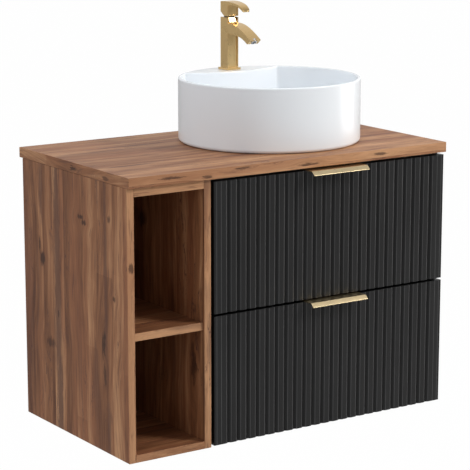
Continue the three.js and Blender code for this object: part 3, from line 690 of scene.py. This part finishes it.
def makeZinc(spec):
    material, tree, shader, place = newMaterial("zincPlate")
    spangle = put(tree, "ShaderNodeTexVoronoi", {"Vector": place, "Scale": spec["spangle"]}).outputs["Color"]
    flake = put(tree, "ShaderNodeSeparateColor", {"Color": spangle}).outputs[0]
    brush = useGroup(tree, brushing, {"Vector": place, "Fineness": spec["fineness"]})
    tree.links.new(ramp(tree, flake, spec["colours"]), shader.inputs["Base Color"])
    dull = calc(tree, "MULTIPLY_ADD", brush["Dullness"], *spec["roughness"])
    tree.links.new(dull, shader.inputs["Roughness"])
    tree.links.new(bump(tree, brush["Scratch"], *spec["bump"]), shader.inputs["Normal"])
    shader.inputs["Metallic"].default_value = 1
    return material


woodTop = makeTopWood(*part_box("worktop"), woodSet["worktop"])
woodUpright = makeUprightWood(woodSet["upright"])
woodAcross = makeShelfWood("woodShelf", "shelf_top_board", woodSet["shelf"])
woodMiddle = makeShelfWood("woodMiddleShelf", "mid_shelf", woodSet["shelf"])
black = makeSkin("mattBlackLacquer")[0]
ceramic = makeSkin("glazedCeramic")[0]
plastic = makeSkin("whitePlastic")[0]
greyBoard = makeBoard(boardSet)
# painted sheen: the pulls' gold is a paler copy of the tap's
goldPull = makeGold("brushedGoldPull", (0, 0, 0), goldSet["pull"], goldSet)
goldAcross = makeGold("brushedGoldAcross", (0, 0, 0), goldSet["tap"], goldSet)
goldUpright = makeGold("brushedGoldUpright", (0, quarter, 0), goldSet["tap"], goldSet)
zinc = makeZinc(zincSet)
print("materials built")

joinSet = {
    "merge": 0.00001,  # points nearer than this are one
    "flat": 0.5,  # degrees below which two faces are one flat
    "bevelAngle": 35,
    "round": 0.0006,
    "segments": 3,
}


def finish(name, bm, material, body, nodes, sharp=35):
    bmesh.ops.remove_doubles(bm, verts=bm.verts, dist=joinSet["merge"])
    mesh = bpy.data.meshes.new(name)
    bm.to_mesh(mesh)
    bm.free()
    mesh.materials.append(material)
    for face in mesh.polygons:
        face.use_smooth = True
    mesh.set_sharp_from_angle(angle=math.radians(sharp))
    piece = bpy.data.objects.new(name, mesh)
    bpy.context.collection.objects.link(piece)
    even = piece.modifiers.new("even", "WEIGHTED_NORMAL")  # keeps the wide faces flat beside their bevels
    even.keep_sharp = True
    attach(piece, body)
    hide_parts(*nodes)


def bevelEdges(bm, edges, width, segments, clamp=False):
    bmesh.ops.bevel(bm, geom=edges, offset=width, offset_type="OFFSET", affect="EDGES", segments=segments,
                    profile=0.5, material=-1, clamp_overlap=clamp)


def bevelSharp(bm, width, segments, angle):
    limit = math.radians(angle)
    edges = [e for e in bm.edges if len(e.link_faces) == 2 and e.calc_face_angle(0) > limit]
    bevelEdges(bm, edges, width, segments, clamp=True)


def roundedCopy(name, node, material, body, width, segments=3, angle=35):
    # a CAD piece with its edges rounded, as casting, bending and polishing leave them
    bm = bmesh.new()
    bm.from_mesh(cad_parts[node].data)
    bmesh.ops.remove_doubles(bm, verts=bm.verts, dist=joinSet["merge"])
    bmesh.ops.dissolve_limit(bm, angle_limit=math.radians(joinSet["flat"]), verts=bm.verts, edges=bm.edges)
    bevelSharp(bm, width, segments, angle)
    finish(name, bm, material, body, [node])


def dress(nodes, material, width=joinSet["round"]):
    # a CAD piece whose shape is right keeps it, with the finish and the small round of its edges
    for name in nodes:
        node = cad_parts[name]
        node.data.materials.clear()
        node.data.materials.append(material)
        weld = node.modifiers.new("weld", "WELD")
        weld.merge_threshold = joinSet["merge"]
        flat = node.modifiers.new("flat", "DECIMATE")
        flat.decimate_type = "DISSOLVE"
        flat.angle_limit = math.radians(joinSet["flat"])
        edge = node.modifiers.new("edge", "BEVEL")
        edge.width = width
        edge.segments = joinSet["segments"]
        edge.limit_method = "ANGLE"
        edge.angle_limit = math.radians(joinSet["bevelAngle"])


def arcPoints(centreR, centreZ, radius, start, end, steps):
    angles = [math.radians(start + (end - start) * i / steps) for i in range(steps + 1)]
    return [(centreR + radius * math.cos(a), centreZ + radius * math.sin(a)) for a in angles]


dress(["worktop"], woodTop, 0.0008)
dress(["shelf_side_left", "shelf_side_right", "shelf_back_panel"], woodUpright)
dress(["shelf_top_board", "shelf_bottom_board"], woodAcross)
dress(["mid_shelf"], woodMiddle)
dress(["cabinet_side_left", "cabinet_side_right", "cabinet_bottom_board"], black)
dress(["cabinet_front_rail", "cabinet_rear_rail", "cabinet_back_panel"], greyBoard)
for drawerName, parts in {
    "upper_drawer": ["side_left", "side_right", "bottom", "notch_left", "notch_right", "notch_front",
                     "back_left", "back_right"],
    "lower_drawer": ["side_left", "side_right", "bottom", "back"],
}.items():
    dress([f"{drawerName}_{part}" for part in parts], greyBoard)
    dress([f"{drawerName}_runner_{member}_{hand}" for member in ("fixed", "middle", "inner")
           for hand in ("left", "right")], zinc, 0.0002)
dress(["wall_rail", "hanger_left", "hanger_right", "tap_stud", "tap_nut"], zinc, 0.0003)
# painted shade: the tap's stem takes the black lacquer, so the gap under the lever reads as shadow
dress(["tap_stem"], black, 0.0003)
print("boards dressed")

frontSet = {
    "flutes": 23,
    "pitch": 0.02385,
    "fluteWidth": 0.0112,
    "fluteFloor": 0.0004,
    "depth": 0.0034,
    "shoulder": 0.0013,
    "edgeRound": 0.0005,
    "cornerRound": 0.0012,
    "segments": 4,
    "edgeSegments": 2,
    "square": 60,  # degrees past which an edge is a corner, and past which it is a flute's shoulder
    "slant": 24,
    "shoulderHighlight": 0.0009,  # width of the painted highlight line on each shoulder
    "shoulderHighlightColour": (0.085, 0.085, 0.088),
    "fluteShadeFrom": 0.0012,  # depths between which painted shade darkens the flute
    "fluteShadeTo": 0.006,
    # share and colour of the painted shade in the flute floors
    "darkShare": 0.7,
    "fluteShadeColour": (0.002, 0.002, 0.002),
}
tallEdge = 0.1  # only the upright edges of a front are longer


frontBlack = makeFrontBlack(*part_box("upper_drawer_front"), frontSet)


def fluteLine(spec):
    # (across, depth) points of one flute: two slanted walls and a narrow floor
    half, floor = spec["fluteWidth"] / 2, spec["fluteFloor"] / 2
    return [(-half, 0), (-floor, spec["depth"]), (floor, spec["depth"]), (half, 0)]


def uprightEdges(bm, least, most):  # those whose faces meet at an angle between two values, in degrees
    edges = [e for e in bm.edges if abs(e.verts[0].co.z - e.verts[1].co.z) > tallEdge]
    return [e for e in edges if math.radians(least) < e.calc_face_angle(0) < math.radians(most)]


def buildFront(name, body, spec):
    low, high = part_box(name)
    bm = bmesh.new()
    middle = (low[0] + high[0]) / 2
    first = middle - (spec["flutes"] - 1) / 2 * spec["pitch"]
    line = [(low[0], high[1]), (low[0], low[1])]
    for i in range(spec["flutes"]):
        line += [(first + i * spec["pitch"] + u, low[1] + d) for u, d in fluteLine(spec)]
    line += [(high[0], low[1]), (high[0], high[1])]
    face = bm.faces.new([bm.verts.new((x, y, low[2])) for x, y in line])
    grown = bmesh.ops.extrude_face_region(bm, geom=[face])
    top = [g for g in grown["geom"] if isinstance(g, bmesh.types.BMVert)]
    bmesh.ops.translate(bm, verts=top, vec=(0, 0, high[2] - low[2]))
    bmesh.ops.recalc_face_normals(bm, faces=bm.faces)
    bevelEdges(bm, uprightEdges(bm, spec["square"], 180), spec["cornerRound"], spec["segments"])
    bevelEdges(bm, uprightEdges(bm, spec["slant"], spec["square"]), spec["shoulder"], spec["segments"])
    bevelSharp(bm, spec["edgeRound"], spec["edgeSegments"], spec["square"])
    finish(name.replace("_front", "FrontPanel"), bm, frontBlack, body, [name], 50)


buildFront("upper_drawer_front", "upper_drawer", frontSet)
buildFront("lower_drawer_front", "lower_drawer", frontSet)
print("drawer fronts built")

handleSet = {"edgeRound": 0.0006, "segments": 3, "angle": 20}
for level in ("upper", "lower"):
    roundedCopy(f"{level}Pull", f"{level}_handle", goldPull, f"{level}_drawer",
                handleSet["edgeRound"], handleSet["segments"], handleSet["angle"])
print("handles built")

basinSet = {
    "segments": 360,
    "wall": 0.0075,
    "rimRound": 0.0032,
    "ledgeFront": 0.114,  # from the basin's axis to the ledge's front edge
    "ledgeArc": 0.244,
    "creaseRound": 0.004,
    "draft": 0.004,
    "floor": 0.024,
    "fillet": 0.03,
    "underside": 0.014,
    "foot": 0.012,
    "footSlope": 0.014,  # the underside rises over this width inside the foot
    "footEdge": (0.004, 0.003),
    "footRound": 0.008,
    "floorRise": 0.004,  # the floor is this much higher at its edge
    "filletTurn": 86,  # degrees
    "drain": 0.0232,
    "seat": 0.0345,  # the flat round the waste
    "seatDeep": 0.0002,
    "dish": 0.038,
    "dishCurve": 1.6,
}


def bowlRadius(angle, inset, spec, outer):
    # distance from the axis to the bowl's wall: the round wall, cut short by the ledge's bowed front
    wall = outer - spec["wall"] - inset
    arc = spec["ledgeArc"] + inset
    middle = spec["ledgeFront"] + spec["ledgeArc"]
    towards = middle * math.sin(angle)
    under = towards ** 2 - middle ** 2 + arc ** 2
    if towards <= 0 or under <= 0:
        return wall
    ledge = towards - math.sqrt(under)
    soft = spec["creaseRound"]
    share = max(0.0, min(1.0, 0.5 + 0.5 * (wall - ledge) / soft))  # a smooth minimum rounds the crease
    return wall * (1 - share) + ledge * share - soft * share * (1 - share)


def buildBasin(spec):
    low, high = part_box("basin")
    centre = ((low[0] + high[0]) / 2, (low[1] + high[1]) / 2)
    outer = (high[0] - low[0]) / 2
    top = high[2] - low[2]
    rim, foot, fillet, floor = spec["rimRound"], spec["foot"], spec["fillet"], spec["floor"]
    edgeIn, edgeUp = spec["footEdge"]
    rings = [(spec["drain"], spec["underside"]), (outer - foot - spec["footSlope"], spec["underside"])]
    rings += [(outer - foot - edgeIn, edgeUp), (outer - foot, 0)]
    rings += arcPoints(outer - spec["footRound"], spec["footRound"], spec["footRound"], -85, 0, 8)
    rings += arcPoints(outer - rim, top - rim, rim, 0, 90, 6)
    turned = [(lambda angle, r=r: r, z) for r, z in rings]

    def inside(inset, z):
        return (lambda angle: bowlRadius(angle, inset, spec, outer), z)

    for i in range(7):  # the rounded lip into the bowl
        turn = math.radians(90 * i / 6)
        turned.append(inside(-rim * (1 - math.sin(turn)), top - rim * (1 - math.cos(turn))))
    wallFoot = floor + fillet + spec["floorRise"]
    for i in range(1, 6):  # the wall, with a little draft
        part = i / 5
        turned.append(inside(spec["draft"] * part, top - rim + (wallFoot - top + rim) * part))
    for i in range(1, 11):  # the round into the floor
        turn = math.radians(spec["filletTurn"] * i / 10)
        inset = spec["draft"] + fillet * (1 - math.cos(turn))
        turned.append(inside(inset, wallFoot - fillet * math.sin(turn)))
    edge, edgeHeight = turned[-1]
    for i in range(1, 9):  # the floor falls gently to the waste
        part = i / 8
        turned.append((lambda angle, p=part: edge(angle) * (1 - p) + spec["dish"] * p,
                       edgeHeight + (floor - edgeHeight) * (1 - (1 - part) ** spec["dishCurve"])))
    seatHeight = floor - spec["seatDeep"]
    turned.append((lambda angle: spec["seat"], seatHeight))
    turned += [(lambda angle: spec["drain"], seatHeight), (lambda angle: spec["drain"], spec["underside"])]

    bm = bmesh.new()
    bmesh.ops.create_circle(bm, segments=spec["segments"], radius=turned[0][0](0))
    loop = list(bm.edges)
    for v in bm.verts:
        v.co.z = turned[0][1]
    for radiusAt, z in turned[1:]:
        grown = bmesh.ops.extrude_edge_only(bm, edges=loop)
        loop = [g for g in grown["geom"] if isinstance(g, bmesh.types.BMEdge)]
        for v in (g for g in grown["geom"] if isinstance(g, bmesh.types.BMVert)):
            angle = math.atan2(v.co.y, v.co.x)
            r = radiusAt(angle)
            v.co = (r * math.cos(angle), r * math.sin(angle), z)
    bmesh.ops.translate(bm, verts=bm.verts, vec=(centre[0], centre[1], low[2]))
    bmesh.ops.remove_doubles(bm, verts=bm.verts, dist=0.00001)
    bmesh.ops.recalc_face_normals(bm, faces=bm.faces)
    finish("vesselBasin", bm, ceramic, "cabinet", ["basin"], 60)


buildBasin(basinSet)
print("basin built")

tapSet = {  # the round of each piece's edges, its segments, and the angle from which an edge is rounded
    "tapBody": ("tap_body", goldUpright, "cabinet", 0.0009, 3, 30),
    "tapPlate": ("tap_base_plate", goldAcross, "cabinet", 0.0012, 4, 30),
    "tapCollar": ("tap_collar", goldAcross, "cabinet", 0.0006, 3, 30),
    "tapLever": ("tap_lever", goldUpright, "tap_lever", 0.0012, 3, 30),
}
for name, (node, finishing, body, edge, segments, angle) in tapSet.items():
    roundedCopy(name, node, finishing, body, edge, segments, angle)
roundedCopy("tapAerator", "tap_aerator", zinc, "cabinet", 0.0003, 2, 50)
print("tap built")

wasteSet = {"edgeRound": 0.0006, "segments": 3}
for name, node, body in (("wasteFlange", "waste_body", "cabinet"), ("wastePlug", "waste_plug", "waste_plug")):
    roundedCopy(name, node, goldAcross, body, wasteSet["edgeRound"], wasteSet["segments"])
for name, node in (("wasteNut", "waste_nut"), ("trapBody", "trap_body"), ("trapCup", "trap_cup"),
                   ("trapOutlet", "trap_outlet"), ("wallRosette", "wall_rosette")):
    roundedCopy(name, node, plastic, "cabinet", wasteSet["edgeRound"], wasteSet["segments"])
print("waste and trap built")
